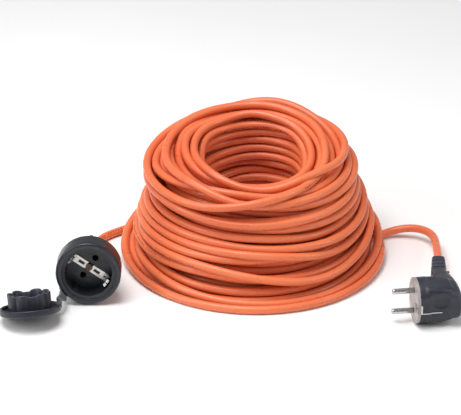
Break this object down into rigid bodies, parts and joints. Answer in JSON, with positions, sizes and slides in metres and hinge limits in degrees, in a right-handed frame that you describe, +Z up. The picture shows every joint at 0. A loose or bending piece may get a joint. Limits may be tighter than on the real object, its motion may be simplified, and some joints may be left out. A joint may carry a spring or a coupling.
{
  "type": "extension cord",
  "caption": "Outdoor extension cord: rubber coupler socket with a tethered splash cap, a wound heap of orange cable and an angled two-pin earthed plug.",
  "frame": {"origin": "on the ground, under the middle of the box round the coupler with its strain relief and its open splash cap", "axes": "+Z up; the coupler's socket looks along -Y, tilted 5 degrees up, and its length runs along Y; +X runs from the splash cap towards the coil and the plug"},
  "size_m": [0.3907, 0.2817, 0.112],
  "materials": {
    "coupler_rubber": "moulded rubber, satin",
    "cap_rubber": "soft moulded rubber, matt",
    "insert_plastic": "moulded thermoset",
    "brass": "bare brass",
    "screw_steel": "passivated steel",
    "nickel": "bright nickel plate",
    "core_brown": "core insulation",
    "core_blue": "core insulation",
    "core_green": "core insulation, green with a yellow stripe",
    "cable_orange": "cable sheath, satin, slightly dusty",
    "plug_face_grey": "moulded carrier, light warm grey",
    "plug_rubber": "moulded rubber, satin"
  },
  "bodies": {
    "root": {"coupler_shell": "coupler_rubber", "coupler_insert": "insert_plastic", "contact_live": "brass", "contact_neutral": "brass", "terminal_screws": "screw_steel", "earth_bridge": "nickel", "earth_screw": "screw_steel", "earth_terminal": "brass", "coupler_core_live": "core_brown", "coupler_core_neutral": "core_blue", "coupler_core_earth": "core_green", "coupler_sheath_end": "cable_orange", "coupler_clamp_bar": "insert_plastic", "coupler_clamp_screws": "screw_steel", "coupler_strain_relief": "coupler_rubber", "cap_tether": "cap_rubber", "cable_lead_coupler": "cable_orange", "cable_coil": "cable_orange", "cable_lead_plug": "cable_orange", "plug_body": "plug_rubber", "plug_face": "plug_face_grey", "pin_live": "nickel", "pin_neutral": "nickel", "plug_crimps": "brass", "plug_earth_clip": "nickel", "plug_earth_tube": "nickel", "plug_core_live": "core_brown", "plug_core_neutral": "core_blue", "plug_core_earth": "core_green", "plug_sheath_end": "cable_orange", "plug_cord_clamp": "plug_rubber", "plug_strain_relief": "plug_rubber"},
    "strap": {"cap_strap": "cap_rubber"},
    "cap": {"cap": "cap_rubber"}
  },
  "joints": [
    {"name": "cap_swing", "type": "hinge", "parent": "root", "child": "strap", "pos_m": [0.00015, -0.03057, 0.0127], "axis": [-0.4093, 0.7738, 0.4834], "range_deg": [0, 131]},
    {"name": "cap_press", "type": "slide", "parent": "strap", "child": "cap", "axis": [-0.0796, 0.3072, 0.9483], "range_m": [0, 0.012]}
  ]
}
